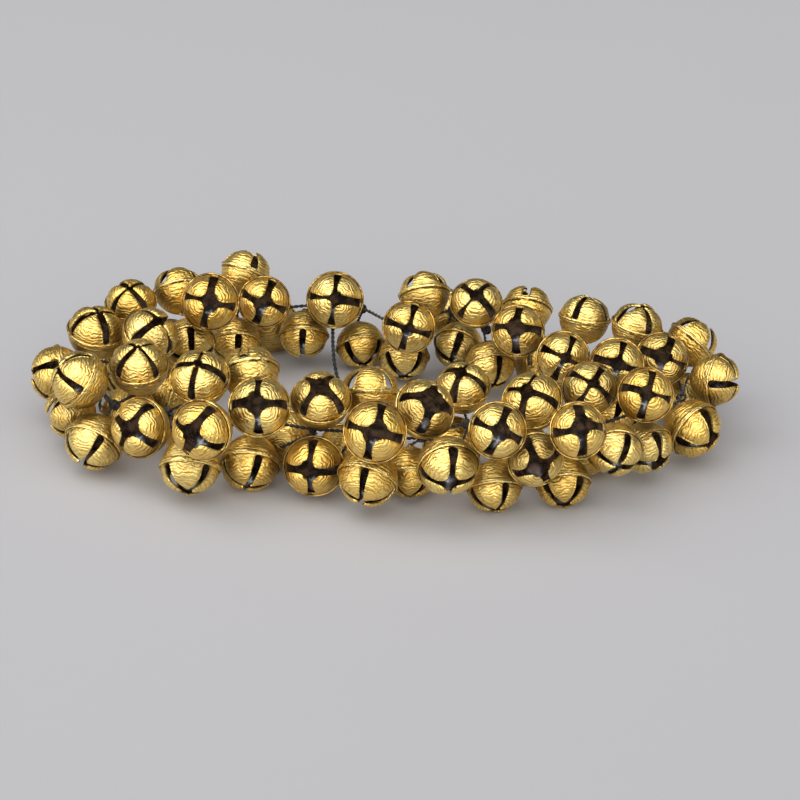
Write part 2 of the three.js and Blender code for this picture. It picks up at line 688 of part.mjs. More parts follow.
// How far a pellet drops from the middle of its bell until it rests on the sheet.
function pelletDrop(bell) {
  const { points, triangles } = bellSurface(bell.radius);
  const placed = innerPoints(bell.radius, points).map((point) => point.applyMatrix4(bell.pose));
  const sheet = triangles.map((corners) => new THREE.Triangle(...corners.map((number) => placed[number])));
  const spot = new THREE.Vector3();
  const onSheet = new THREE.Vector3();
  const room = (face) => face.closestPointToPoint(spot, onSheet).distanceTo(spot) - PELLET / 2;
  while (spot.z > -bell.radius && sheet.every((face) => room(face) > SEAT_GAP)) spot.z -= DROP_STEP;
  return -spot.z;
}

bunches.forEach((bunch, i) => {
  const tangent = cordCurve.getTangent((i + 1) / (bunches.length + 1));
  place(`bells_${bunch.name}`, bunchGeometry(bunch, tangent), MATERIALS.brass);
  if (PELLET_HIDDEN.includes(bunch.name)) return;
  const [first] = bunch.bells;
  const rest = first.middle.clone().addScaledVector(UP, -pelletDrop(first));
  const ball = new THREE.SphereGeometry(PELLET / 2, PELLET_SIDES, PELLET_ROWS);
  place(`pellet_${bunch.name}`, ball, MATERIALS.iron, rest);
});

// The origin on the floor, under the middle of the bells
const box = new THREE.Box3();
for (const mesh of root.children) {
  if (mesh.name.startsWith("bells_")) box.expandByObject(mesh, true);
}
const middle = box.getCenter(new THREE.Vector3());
root.position.set(-middle.x, -middle.y, -box.min.z);

export default root;
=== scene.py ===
"""A string of ankle bells: hammered brass bells lashed in bunches to a dark twine laid down in a loop."""

import json
import logging
import math
import random
from collections.abc import Iterable, Sequence
from dataclasses import dataclass
from enum import Enum

import bmesh
import bpy
from mathutils import Matrix, Vector, bvhtree, geometry, kdtree, noise


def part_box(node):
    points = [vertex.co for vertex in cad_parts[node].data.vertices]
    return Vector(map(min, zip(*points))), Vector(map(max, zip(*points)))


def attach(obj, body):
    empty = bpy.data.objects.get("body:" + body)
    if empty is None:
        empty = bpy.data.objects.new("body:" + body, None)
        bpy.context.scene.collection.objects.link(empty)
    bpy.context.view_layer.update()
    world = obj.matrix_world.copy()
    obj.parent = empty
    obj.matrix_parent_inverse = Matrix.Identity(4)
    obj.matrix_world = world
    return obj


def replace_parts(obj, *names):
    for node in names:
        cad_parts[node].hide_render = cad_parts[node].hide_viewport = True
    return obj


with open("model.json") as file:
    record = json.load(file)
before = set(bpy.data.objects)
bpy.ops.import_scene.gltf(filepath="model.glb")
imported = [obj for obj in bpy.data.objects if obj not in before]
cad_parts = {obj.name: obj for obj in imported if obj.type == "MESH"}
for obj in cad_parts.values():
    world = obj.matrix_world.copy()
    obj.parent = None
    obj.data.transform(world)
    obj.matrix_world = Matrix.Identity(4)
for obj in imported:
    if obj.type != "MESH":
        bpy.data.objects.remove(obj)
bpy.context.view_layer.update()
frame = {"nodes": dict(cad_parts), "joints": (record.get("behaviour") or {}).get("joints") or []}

LOG = logging.getLogger("ankle_bells")
MM = 0.001
LARGE, SMALL = 22.0, 20.0
PETALS = 4
COLUMNS = 14  # of faces across a petal
SECTOR = math.pi / PETALS  # half of a petal's share of the rim
DENT_SCALE = 0.22  # of the dents of the sheet, per millimetre
SPOT_SHIFT = 900  # most that a bell's marks are shifted by, mm
UP = Vector((0, 0, 1))
AIM_HEIGHT = 20 * MM  # of the point in the middle of the picture

Ball = tuple[Vector, float]  # middle and radius of a bell
Span = tuple[float, float, float, float]  # a range, and the range that it is taken to


class BellForm(Enum):
    """How petals were cut: slot at the rim (mm), taper (degrees), gap from tip to axis (mm), bluntness."""

    SHUT = (3.0, 38.0, 1.5, 4.0)
    PART = (3.5, 28.0, 2.2, 2.8)
    OPEN = (3.9, 22.0, 3.2, 2.4)

    @property
    def slot(self) -> float:
        """Width of the slots at their rim end, in metres."""
        return self.value[0] * MM

    @property
    def taper(self) -> float:
        """Angle from a petal's middle line to its sides, seen along the bell's axis."""
        return math.radians(self.value[1])

    @property
    def gap(self) -> float:
        """From the petals' tips to the bell's axis, in metres."""
        return self.value[2] * MM

    @property
    def bluntness(self) -> float:
        """Power of the curve that rounds the tips: 2 is an ellipse, and more is blunter."""
        return self.value[3]


class Mark(Enum):
    """Attributes that the finishes read from a mesh."""

    SPOT = "spot"  # place on the bell in millimetres, shifted from bell to bell
    ARC = "arc"  # millimetres along the sheet from the middle of the back
    INSIDE = "inside"  # 1 on the inner face of the sheet
    GRIME = "grime"  # painted shade: 1 in the lip's creases, round the eyelet and on sides close to other bells
    TONE = "tone"  # a bell's own shade, from 0 to 1


class Graph:
    """Adds nodes to a tree and joins them."""

    def __init__(self, tree: bpy.types.NodeTree) -> None:
        """Keeps the tree."""
        self.tree = tree

    def add(self, kind: str, inputs: dict | None = None, **settings: object) -> bpy.types.Node:
        """Makes one node.

        Args:
            kind: Blender's name of the node type.
            inputs: values or sockets by input name or number.
            settings: properties of the node.

        Returns:
            The node.
        """
        node = self.tree.nodes.new(kind)
        for name, value in settings.items():
            setattr(node, name, value)
        for name, value in (inputs or {}).items():
            if isinstance(value, bpy.types.NodeSocket):
                self.tree.links.new(value, node.inputs[name])
            else:
                node.inputs[name].default_value = value
        return node

    def math(self, operation: str, *values: object) -> bpy.types.NodeSocket:
        """The result of a sum on numbers or sockets."""
        return self.add("ShaderNodeMath", dict(enumerate(values)), operation=operation).outputs[0]

    def noise(self, vector: bpy.types.NodeSocket, scale: float, detail: float = 2.0) -> bpy.types.NodeSocket:
        """A noise at a place, from 0 to 1."""
        inputs = {"Vector": vector, "Scale": scale, "Detail": detail}
        return self.add("ShaderNodeTexNoise", inputs).outputs["Fac"]

    def span(
        self, value: object, low: object, high: object, to_low: object, to_high: object
    ) -> bpy.types.NodeSocket:
        """A value taken from one range to another, and held at its ends."""
        ends = (value, low, high, to_low, to_high)
        return self.add("ShaderNodeMapRange", dict(enumerate(ends))).outputs[0]

    def mix(self, share: object, first: object, second: object) -> bpy.types.NodeSocket:
        """A colour between two, with a share of the second."""
        inputs = {0: share, 6: first, 7: second}
        return self.add("ShaderNodeMix", inputs, data_type="RGBA").outputs[2]

    def mark(self, mark: Mark, output: str = "Fac") -> bpy.types.NodeSocket:
        """An attribute of the mesh, as a number or a vector."""
        return self.add("ShaderNodeAttribute", attribute_name=mark.value).outputs[output]


def colour(red: int, green: int, blue: int) -> tuple[float, float, float, float]:
    """Turns a colour as it looks on a screen into the linear one that a shader takes.

    Args:
        red, green, blue: from 0 to 255.

    Returns:
        The linear colour, opaque.
    """
    linear = [
        ((c / 255 + 0.055) / 1.055) ** 2.4 if c > 10 else c / 255 / 12.92 for c in (red, green, blue)
    ]
    return (*linear, 1.0)


@dataclass(frozen=True)
class HammerMarks:
    """The wavy hammer marks that run round a bell."""

    wander: float = 20.0  # of their lines to the sides, as an angle of the wave
    wander_scale: float = 0.3
    ridge_power: float = 0.6  # under 1, the ridges are broad and the hollows narrow
    break_scale: float = 0.45
    break_span: Span = (0.35, 0.6, 0.3, 1.0)  # from noise to how strong the marks are
    grain: float = 0.16
    grain_scale: float = 2.2

    def build(self) -> bpy.types.NodeTree:
        """Makes the node group.

        Returns:
            The group, which gives the marks' height and how dark their hollows are.
        """
        tree = bpy.data.node_groups.new("hammer_marks", "ShaderNodeTree")
        takes = {"Spot": "NodeSocketVector", "Arc": "NodeSocketFloat", "Pitch": "NodeSocketFloat"}
        for name, kind in takes.items():
            tree.interface.new_socket(name, in_out="INPUT", socket_type=kind)
        for name in ("Height", "Hollow"):
            tree.interface.new_socket(name, in_out="OUTPUT", socket_type="NodeSocketFloat")
        graph = Graph(tree)
        given = graph.add("NodeGroupInput").outputs
        spot = given["Spot"]
        bend = graph.math("MULTIPLY", graph.noise(spot, self.wander_scale), self.wander)
        phase = graph.math("DIVIDE", graph.math("MULTIPLY", given["Arc"], 2 * math.pi), given["Pitch"])
        wave = graph.math("SINE", graph.math("ADD", phase, bend))
        ridge = graph.math("POWER", graph.math("MULTIPLY_ADD", wave, 0.5, 0.5), self.ridge_power)
        broken = graph.span(graph.noise(spot, self.break_scale), *self.break_span)
        grain = graph.math("MULTIPLY", graph.noise(spot, self.grain_scale), self.grain)
        height = graph.math("ADD", graph.math("MULTIPLY", ridge, broken), grain)
        hollow = graph.math("MULTIPLY", graph.math("SUBTRACT", 1.0, ridge), broken)
        graph.add("NodeGroupOutput", {"Height": height, "Hollow": hollow})
        return tree


def fibre(fuzz_scale: float = 5200.0, shade_scale: float = 420.0) -> bpy.types.NodeTree:
    """Makes the node group of the fine fuzz of spun cotton.

    Args:
        fuzz_scale: of single fibres.
        shade_scale: of whole yarns.

    Returns:
        The group, which gives the fuzz's height and a value that varies from yarn to yarn.
    """
    tree = bpy.data.node_groups.new("fibre", "ShaderNodeTree")
    tree.interface.new_socket("Place", in_out="INPUT", socket_type="NodeSocketVector")
    for name in ("Height", "Shade"):
        tree.interface.new_socket(name, in_out="OUTPUT", socket_type="NodeSocketFloat")
    graph = Graph(tree)
    place = graph.add("NodeGroupInput").outputs["Place"]
    fuzz = graph.noise(place, fuzz_scale, detail=3.0)
    shade = graph.noise(place, shade_scale)
    graph.add("NodeGroupOutput", {"Height": fuzz, "Shade": shade})
    return tree


def new_material(name: str) -> tuple[bpy.types.Material, Graph, bpy.types.Node]:
    """Makes an empty material.

    Args:
        name: of the material.

    Returns:
        The material, its graph and its surface shader.
    """
    material = bpy.data.materials.new(name)
    material.use_nodes = True
    graph = Graph(material.node_tree)
    return material, graph, material.node_tree.nodes["Principled BSDF"]


@dataclass(frozen=True)
class BrassFinish:
    """Hammered sheet brass: bright on the ridges, brown in the hollows, nearly black inside, with shade
    painted dark in the creases and where bells crowd.
    """

    bright: tuple = colour(255, 232, 150)
    warm: tuple = colour(252, 200, 80)
    tarnish: tuple = colour(146, 82, 12)
    # Painted shade: the dark brown laid over the brass in creases, round the eyelet and where bells crowd
    grime: tuple = colour(62, 29, 5)
    soot: tuple = colour(128, 100, 72)
    char: tuple = colour(52, 36, 24)
    pitch: float = 1.6  # of the hammer marks, mm
    relief: float = 0.2 * MM  # of the hammer marks
    tone_share: float = 0.45  # of warm brass in the warmest bell
    hollow_share: float = 0.7  # of warm brass in the hollows
    hollow_stain: float = 0.38
    patch_scale: float = 0.16
    patch_span: Span = (0.52, 0.8, 0.0, 0.24)  # from noise to stain
    streak_scale: float = 0.3
    streak_span: Span = (0.4, 0.62, 0.0, 1.0)  # from noise to the share of soot inside
    rough: float = 0.35
    shade_rough: float = 0.14  # added where shade is painted
    inner_rough: float = 0.6
    inner_metal: float = 0.2

    def build(self) -> bpy.types.Material:
        """Makes the material.

        Returns:
            The material.
        """
        material, graph, shader = new_material("hammered_brass")
        spot = graph.mark(Mark.SPOT, "Vector")
        given = {"Spot": spot, "Arc": graph.mark(Mark.ARC), "Pitch": self.pitch}
        marks = graph.add("ShaderNodeGroup", given, node_tree=HammerMarks().build())
        height, hollow = marks.outputs["Height"], marks.outputs["Hollow"]
        tone = graph.math("MULTIPLY", graph.mark(Mark.TONE), self.tone_share)
        depth = graph.math("MULTIPLY_ADD", hollow, self.hollow_share, tone)
        clean = graph.mix(graph.math("MINIMUM", depth, 1.0), self.bright, self.warm)
        patch = graph.span(graph.noise(spot, self.patch_scale, detail=3.0), *self.patch_span)
        stain = graph.math("ADD", graph.math("MULTIPLY", hollow, self.hollow_stain), patch)
        worn = graph.mix(graph.math("MINIMUM", stain, 1.0), clean, self.tarnish)
        # Painted shade: the mesh's mark darkens the brass in creases, round the eyelet and near other bells
        shade_mask = graph.mark(Mark.GRIME)
        skin = graph.mix(shade_mask, worn, self.grime)
        inside = graph.mark(Mark.INSIDE)
        streak = graph.span(graph.noise(spot, self.streak_scale), *self.streak_span)
        lining = graph.mix(streak, self.char, self.soot)
        graph.tree.links.new(graph.mix(inside, skin, lining), shader.inputs["Base Color"])
        rough = graph.math("ADD", graph.math("MULTIPLY", shade_mask, self.shade_rough), self.rough)
        graph.tree.links.new(graph.span(inside, 0, 1, rough, self.inner_rough), shader.inputs["Roughness"])
        graph.tree.links.new(graph.span(inside, 0, 1, 1.0, self.inner_metal), shader.inputs["Metallic"])
        bump = graph.add("ShaderNodeBump", {"Strength": 1.0, "Distance": self.relief, "Height": height})
        graph.tree.links.new(bump.outputs[0], shader.inputs["Normal"])
        return material


@dataclass(frozen=True)
class IronFinish:
    """Iron pellets, worn grey, with some brown rust."""

    grey: tuple = colour(134, 133, 136)
    rust: tuple = colour(96, 66, 46)
    rust_scale: float = 160.0
    rust_span: Span = (0.5, 0.68, 0.0, 0.9)  # from noise to the share of rust
    rough_span: Span = (0.0, 0.9, 0.34, 0.7)  # from that share to roughness
    metal_span: Span = (0.0, 0.9, 0.9, 0.3)
    pit_scale: float = 1400.0
    pit_depth: float = 0.1 * MM
    pit_strength: float = 0.7

    def build(self) -> bpy.types.Material:
        """Makes the material.

        Returns:
            The material.
        """
        material, graph, shader = new_material("pellet_iron")
        place = graph.add("ShaderNodeTexCoord").outputs["Object"]
        rust = graph.span(graph.noise(place, self.rust_scale, detail=4.0), *self.rust_span)
        graph.tree.links.new(graph.mix(rust, self.grey, self.rust), shader.inputs["Base Color"])
        graph.tree.links.new(graph.span(rust, *self.rough_span), shader.inputs["Roughness"])
        graph.tree.links.new(graph.span(rust, *self.metal_span), shader.inputs["Metallic"])
        pits = graph.noise(place, self.pit_scale, detail=3.0)
        inputs = {"Strength": self.pit_strength, "Distance": self.pit_depth, "Height": pits}
        graph.tree.links.new(graph.add("ShaderNodeBump", inputs).outputs[0], shader.inputs["Normal"])
        return material


@dataclass(frozen=True)
class TwineFinish:
    """Dark cotton twine."""

    dark: tuple = colour(30, 31, 36)
    worn: tuple = colour(74, 68, 66)
    worn_span: Span = (0.42, 0.72, 0.0, 1.0)  # from a yarn's shade to its wear
    rough_span: Span = (0.0, 1.0, 0.8, 0.95)  # from wear to roughness
    sheen: float = 0.25
    fuzz: float = 0.12 * MM
    fuzz_strength: float = 0.8

    def build(self) -> bpy.types.Material:
        """Makes the material.

        Returns:
            The material.
        """
        material, graph, shader = new_material("dark_twine")
        place = graph.add("ShaderNodeTexCoord").outputs["Object"]
        fuzz = graph.add("ShaderNodeGroup", {"Place": place}, node_tree=fibre())
        worn = graph.span(fuzz.outputs["Shade"], *self.worn_span)
        graph.tree.links.new(graph.mix(worn, self.dark, self.worn), shader.inputs["Base Color"])
        graph.tree.links.new(graph.span(worn, *self.rough_span), shader.inputs["Roughness"])
        shader.inputs["Sheen Weight"].default_value = self.sheen
        inputs = {"Strength": self.fuzz_strength, "Distance": self.fuzz, "Height": fuzz.outputs["Height"]}
        graph.tree.links.new(graph.add("ShaderNodeBump", inputs).outputs[0], shader.inputs["Normal"])
        return material


@dataclass(frozen=True)
class FloorFinish:
    """Smooth pale grey paper."""

    grey: tuple = colour(176, 175, 178)
    shade: float = 0.8  # of the grey, in the clouds
    cloud_scale: float = 3.0
    cloud_span: Span = (0.3, 0.7, 0.0, 0.06)  # from noise to how much of that shade
    rough: float = 0.85

    def build(self) -> bpy.types.Material:
        """Makes the material.

        Returns:
            The material.
        """
        material, graph, shader = new_material("grey_paper")
        place = graph.add("ShaderNodeTexCoord").outputs["Object"]
        cloud = graph.span(graph.noise(place, self.cloud_scale), *self.cloud_span)
        darker = (*(self.shade * c for c in self.grey[:3]), 1.0)
        graph.tree.links.new(graph.mix(cloud, self.grey, darker), shader.inputs["Base Color"])
        shader.inputs["Roughness"].default_value = self.rough
        return material


def new_piece(name: str, mesh: bpy.types.Mesh, material: bpy.types.Material) -> bpy.types.Object:
    """Puts a finished mesh into the scene.

    Args:
        name: of the piece.
        mesh: with its place in its vertices.
        material: its finish.

    Returns:
        The piece.
    """
    mesh.materials.clear()
    mesh.materials.append(material)
    mesh.polygons.foreach_set("use_smooth", [True] * len(mesh.polygons))
    piece = bpy.data.objects.new(name, mesh)
    bpy.context.scene.collection.objects.link(piece)
    LOG.info("%s: %d faces", name, len(mesh.polygons))
    return piece


def strand_mesh(name: str, strands: Iterable[Sequence[Vector]], width: float) -> bpy.types.Mesh:
    """Round strands along lists of points, as one mesh.

    Args:
        name: of the mesh.
        strands: the middle line of each strand.
        width: diameter of a strand.

    Returns:
        The mesh.
    """
    curve = bpy.data.curves.new(name, "CURVE")
    curve.dimensions = "3D"
    curve.bevel_depth = width / 2
    curve.bevel_resolution = 2
    curve.use_fill_caps = True
    for points in strands:
        spline = curve.splines.new("POLY")
        spline.points.add(len(points) - 1)
        for point, place in zip(spline.points, points):
            point.co = (*place, 1.0)
    holder = bpy.data.objects.new(name, curve)
    mesh = bpy.data.meshes.new_from_object(holder)
    bpy.data.objects.remove(holder)
    bpy.data.curves.remove(curve)
    return mesh


def smooth_path(points: Sequence[Vector], slopes: Sequence[Vector], steps: int) -> list[Vector]:
    """A smooth line through points.

    Args:
        points: that the line goes through.
        slopes: unit direction of the line at each point.
        steps: pieces between two points.

    Returns:
        Points of the line.
    """
    path = [points[0]]
    for (a, b), (slope_a, slope_b) in zip(zip(points, points[1:]), zip(slopes, slopes[1:])):
        third = (b - a).length / 3
        path += geometry.interpolate_bezier(a, a + slope_a * third, b - slope_b * third, b, steps + 1)[1:]
    return path


def slopes_of(points: Sequence[Vector]) -> list[Vector]:
    """Unit directions of a line at its points."""
    last = len(points) - 1
    return [(points[min(i + 1, last)] - points[max(i - 1, 0)]).normalized() for i in range(last + 1)]


def spaced(path: Sequence[Vector], step: float) -> list[Vector]:
    """Points at an even spacing along a path.

    Args:
        path: points of the path.
        step: from one new point to the next.

    Returns:
        The new points.
    """
    points, left = [path[0].copy()], step
    for a, b in zip(path, path[1:]):
        length, done = (b - a).length, 0.0
        while length - done >= left:
            done += left
            left = step
            points.append(a.lerp(b, done / length))
        left -= length - done
    return points


def plies(path: Sequence[Vector], width: float, lead: float, count: int = 2) -> list[list[Vector]]:
    """Middle lines of the plies of a twisted twine.

    Args:
        path: evenly spaced points of the twine's middle line.
        width: diameter over the plies.
        lead: length of one turn.
        count: of plies.

    Returns:
        One list of points for each ply.
    """
    slopes = slopes_of(path)
    side = slopes[0].orthogonal().normalized()
    lines: list[list[Vector]] = [[] for _ in range(count)]
    run = 0.0
    for i, (point, slope) in enumerate(zip(path, slopes)):
        run += (point - path[i - 1]).length if i else 0.0
        side = (side - slope * side.dot(slope)).normalized()
        other = slope.cross(side)
        for number, line in enumerate(lines):
            angle = 2 * math.pi * (run / lead + number / count)
            line.append(point + (side * math.cos(angle) + other * math.sin(angle)) * width / 4)
    return lines


@dataclass(frozen=True)
class Bell:
    """One bell: rim diameter (mm), the way its mouth faces, its turn about that axis, and its fold."""

    label: str
    size: float
    azimuth: float
    elevation: float
    turn: float
    form: BellForm = BellForm.PART

    # Shares of the rim's radius, and points as shares out from the axis and up from the rim
    cup: float = 0.955
    cup_depth: float = 0.985
    cup_angle: float = 86  # degrees, from the middle of the back to the lip
    cup_rows: int = 14
    dome: float = 0.935
    dome_height: float = 0.85
    dome_foot: float = 0.025
    lip: tuple = (
        (0.978, -0.07), (0.994, -0.046), (1.003, -0.01), (1.002, 0.036), (0.993, 0.068), (0.976, 0.08),
    )
    lip_foot: tuple = ((0.962, 0.07), (0.948, 0.04))
    lip_zone: tuple = (0.975, 0.095)  # least out and most up or down
    creases: tuple = ((0.945, 0.03), (0.953, -0.086))
    eyelet_foot: float = -0.97
    solid_tip: tuple = (0.17, 0.86)  # of a petal in the CAD solid

    # Sizes
    sheet: float = 0.65 * MM
    edge_round: float = 0.16 * MM
    edge_drop: float = 0.6 * MM  # of a petal's sides below its middle
    collar: float = 0.12 * MM  # of whole sheet between the rim and the slots
    tip_half: float = 0.5 * MM  # least half width of a petal's tip
    eyelet: tuple = (1.15 * MM, 0.42 * MM)  # radius of the ring and of its wire
    eyelet_faces: tuple = (10, 8)  # along the ring and round the wire
    dent: float = 0.14 * MM
    floor_sheet: float = 0.3 * MM  # between the floor and the inner face
    pellet_gap: float = 0.15 * MM
    pellet_step: float = 0.1 * MM  # in finding where a pellet rests
    shade_reach: float = 11.0 * MM  # of the painted shade, from a bell next to it
    weld: float = 0.01 * MM
    match: float = 0.02 * MM  # from a corner of the CAD solid to where it is looked for

    # Form of the petals
    fullness: float = 0.86  # power of the dome's rise: 1 is an ellipse, and less is fuller
    corner_turns: tuple = (0.4, 0.8, 1.15, math.pi / 2)  # round the outer end of a slot
    corner_rise: float = 0.4  # of that end, as a share of the slot's width
    tip_rows: int = 12
    row_angle: float = 0.03  # least, from row to row
    sharp_angle: float = 0.9
    bends: tuple = (-0.9, 0.2)  # of the tips out of the dome, mm
    skews: tuple = (-0.2, 0.2)
    taper_changes: tuple = (-4, 4)  # degrees
    gap_changes: tuple = (0.6, 1.5)

    # Painted shade, in the lip's creases, round the eyelet and where other bells come close
    crease_width: float = 0.04
    back_shade: float = 0.9
    back_reach: float = 0.3
    crowd_shade: float = 0.95
    crowd_power: float = 1.6
    lip_shade: float = 0.35

    @property
    def radius(self) -> float:
        """Of the rim, in metres."""
        return self.size / 2 * MM

    @property
    def faces(self) -> Vector:
        """The way that the mouth faces.

        Returns:
            A unit vector.
        """
        azimuth, elevation = math.radians(self.azimuth), math.radians(self.elevation)
        level = math.cos(elevation)
        return Vector((level * math.cos(azimuth), level * math.sin(azimuth), math.sin(elevation)))

    @property
    def pose(self) -> Matrix:
        """The turn that takes a bell from its mouth up to the way that it lies.

        Returns:
            The rotation.
        """
        across = UP.cross(self.faces).normalized()
        basis = Matrix((across, self.faces.cross(across), self.faces)).transposed()
        return basis @ Matrix.Rotation(math.radians(self.turn), 3, "Z")

    def draws(self) -> random.Random:
        """Random draws of this bell's own."""
        return random.Random(self.label)

    def middle(self, corners: kdtree.KDTree, places: Sequence[Vector]) -> Vector:
        """Finds the bell in the CAD solid of its bunch.

        Args:
            corners: the solid's corners.
            places: the same corners as a list.

        Returns:
            The middle of the bell's rim.
        """
        pose, radius = self.pose, self.radius
        turns = [Matrix.Rotation(i * SECTOR, 3, "Z") for i in range(2 * PETALS)]
        rim = [pose @ (turn @ Vector((radius, 0, 0))) for turn in turns]
        tip_out, tip_up = self.solid_tip
        tips = [pose @ (turn @ Vector((tip_out * radius, 0, tip_up * radius))) for turn in turns[::2]]
        best, most = None, 0
        for tip in tips:
            for place in places:
                middle = place - tip
                hits = 0
                for number, corner in enumerate(rim + tips):
                    hits += corners.find(middle + corner)[2] < self.match
                    if number - hits > len(rim):
                        break
                if hits > most:
                    best, most = middle, hits
        if most < len(rim):
            LOG.warning("bell %s: only %d corners found", self.label, most)
        return best

    def dome_point(self, climb: float, angle: float, lift: float) -> Vector:
        """A point of the petals' dome.

        Args:
            climb: angle up the dome from the rim.
            angle: about the bell's axis.
            lift: how far the sheet is bent out of the dome there.

        Returns:
            The point, with the mouth up.
        """
        out = self.dome * math.cos(climb) * self.radius + lift * math.cos(climb)
        rise = self.dome_height * math.sin(climb) ** self.fullness
        rise = (self.dome_foot + rise) * self.radius + lift * math.sin(climb)
        return Vector((out * math.cos(angle), out * math.sin(angle), rise))

    def petal_rows(self, taper: float, gap: float) -> list[tuple[float, float]]:
        """Rows of faces of a petal from the rim to its tip.

        Args:
            taper: angle from its middle line to its sides, seen along the bell's axis.
            gap: from its tip to the bell's axis.

        Returns:
            Angle up the dome and half width as an angle, row by row.
        """
        slot, rim = self.form.slot, self.dome * self.radius
        collar = self.collar / rim
        rows = [(0.0, SECTOR), (collar, SECTOR)]
        for turn in self.corner_turns:
            climb = collar + self.corner_rise * slot * (1 - math.cos(turn)) / rim
            rows.append((climb, SECTOR - slot / 2 / rim * math.sin(turn)))
        corner = SECTOR - slot / 2 / rim
        along, across = rim * math.cos(corner), rim * math.sin(corner)
        for step in range(1, self.tip_rows + 1):
            share = math.sin(math.pi / 2 * step / self.tip_rows)
            run = (along - gap) * share
            half = (across - math.tan(taper) * run) * math.sqrt(1 - share**self.form.bluntness)
            spot = Vector((along - run, max(half, self.tip_half)))
            climb = math.acos(spot.length / rim)
            if climb > rows[-1][0] + self.row_angle:
                rows.append((climb, math.atan2(spot.y, spot.x)))
        return rows

    def add_petal(self, sheet: bmesh.types.BMesh, number: int, draws: random.Random) -> None:
        """Adds one petal to the sheet.

        Args:
            sheet: the bell's sheet.
            number: of the petal, from 0.
            draws: the bell's random draws.
        """
        bend = draws.uniform(*self.bends) * MM
        skew = draws.uniform(*self.skews)
        taper = self.form.taper + math.radians(draws.uniform(*self.taper_changes))
        rows = self.petal_rows(taper, self.form.gap * draws.uniform(*self.gap_changes))
        last = len(rows) - 1
        made = bmesh.ops.create_grid(sheet, x_segments=COLUMNS, y_segments=last, size=1)["verts"]
        for vert in made:
            climb, half = rows[round((vert.co.y + 1) / 2 * last)]
            share = climb / rows[-1][0]
            angle = 2 * SECTOR * number + vert.co.x * half + skew * share**2
            drop = self.edge_drop * abs(vert.co.x) ** 3 * min(1.0, 2 * share)
            vert.co = self.dome_point(climb, angle, bend * share**2 - drop)

    def add_cup(self, sheet: bmesh.types.BMesh) -> None:
        """Adds the round back and the lip.

        Args:
            sheet: the bell's sheet.
        """
        radius = self.radius
        outline = [
            (self.cup * math.cos(turn), self.cup_depth * math.sin(turn))
            for turn in (
                math.radians(-90 + self.cup_angle * step / self.cup_rows) for step in range(self.cup_rows + 1)
            )
        ]
        outline += [*self.lip, *self.lip_foot, (self.dome, self.dome_foot)]
        verts = [sheet.verts.new((out * radius, 0, up * radius)) for out, up in outline]
        edges = [sheet.edges.new(pair) for pair in zip(verts, verts[1:])]
        bmesh.ops.spin(
            sheet, geom=verts + edges, cent=(0, 0, 0), axis=(0, 0, 1), angle=2 * math.pi,
            steps=PETALS * COLUMNS, use_merge=True,
        )

    def add_eyelet(self, sheet: bmesh.types.BMesh) -> None:
        """Adds the wire eyelet at the back, as a half ring.

        Args:
            sheet: the bell's sheet.
        """
        ring, wire = self.eyelet
        steps, sides = self.eyelet_faces
        foot = Vector((0, 0, self.eyelet_foot * self.radius))
        section = bmesh.ops.create_circle(sheet, segments=sides, radius=wire)["verts"]
        bmesh.ops.transform(sheet, matrix=Matrix.Translation((ring, 0, 0)), verts=section)
        edges = list(dict.fromkeys(edge for vert in section for edge in vert.link_edges))
        geom = section + edges
        bmesh.ops.spin(sheet, geom=geom, cent=(0, 0, 0), axis=(0, 1, 0), angle=math.pi, steps=steps)
        made = self.joined(section)
        faces = list({face for vert in made for face in vert.link_faces})
        bmesh.ops.recalc_face_normals(sheet, faces=faces)
        bmesh.ops.translate(sheet, vec=foot, verts=made)

    @staticmethod
    def joined(verts: Sequence[bmesh.types.BMVert]) -> list[bmesh.types.BMVert]:
        """Follows edges.

        Args:
            verts: points to start from.

        Returns:
            Those and all the points that edges join to them.
        """
        found, ahead = set(verts), list(verts)
        while ahead:
            for edge in ahead.pop().link_edges:
                fresh = {*edge.verts} - found
                found |= fresh
                ahead += fresh
        return list(found)

    def sheet_mesh(self, middle: Vector, crowd: Sequence[Ball]) -> bmesh.types.BMesh:
        """Builds the bell in its place.

        Args:
            middle: of the rim.
            crowd: all the bells of the string.

        Returns:
            The bell, with the attributes that its finish reads.
        """
        sheet = bmesh.new()
        draws = self.draws()
        self.add_cup(sheet)
        for number in range(PETALS):
            self.add_petal(sheet, number, draws)
        bmesh.ops.remove_doubles(sheet, verts=sheet.verts, dist=self.weld)
        bmesh.ops.recalc_face_normals(sheet, faces=sheet.faces)
        inside = sheet.verts.layers.float.new(Mark.INSIDE.value)
        inner = bmesh.ops.solidify(sheet, geom=sheet.faces[:], thickness=self.sheet)["geom"]
        for vert in inner:
            if isinstance(vert, bmesh.types.BMVert):
                vert[inside] = 1.0
        sharp = [
            edge for edge in sheet.edges if edge.is_manifold and edge.calc_face_angle() > self.sharp_angle
        ]
        bmesh.ops.bevel(
            sheet, geom=sharp, offset=self.edge_round, offset_type="OFFSET", affect="EDGES", segments=2,
            profile=0.5, material=-1, clamp_overlap=True,
        )
        self.add_eyelet(sheet)
        # The bells near enough to take part in this one's painted shade
        reach = self.radius + self.shade_reach
        near = [ball for ball in crowd if MM < (ball[0] - middle).length < ball[1] + reach]
        self.dress(sheet, middle, near, draws)
        return sheet

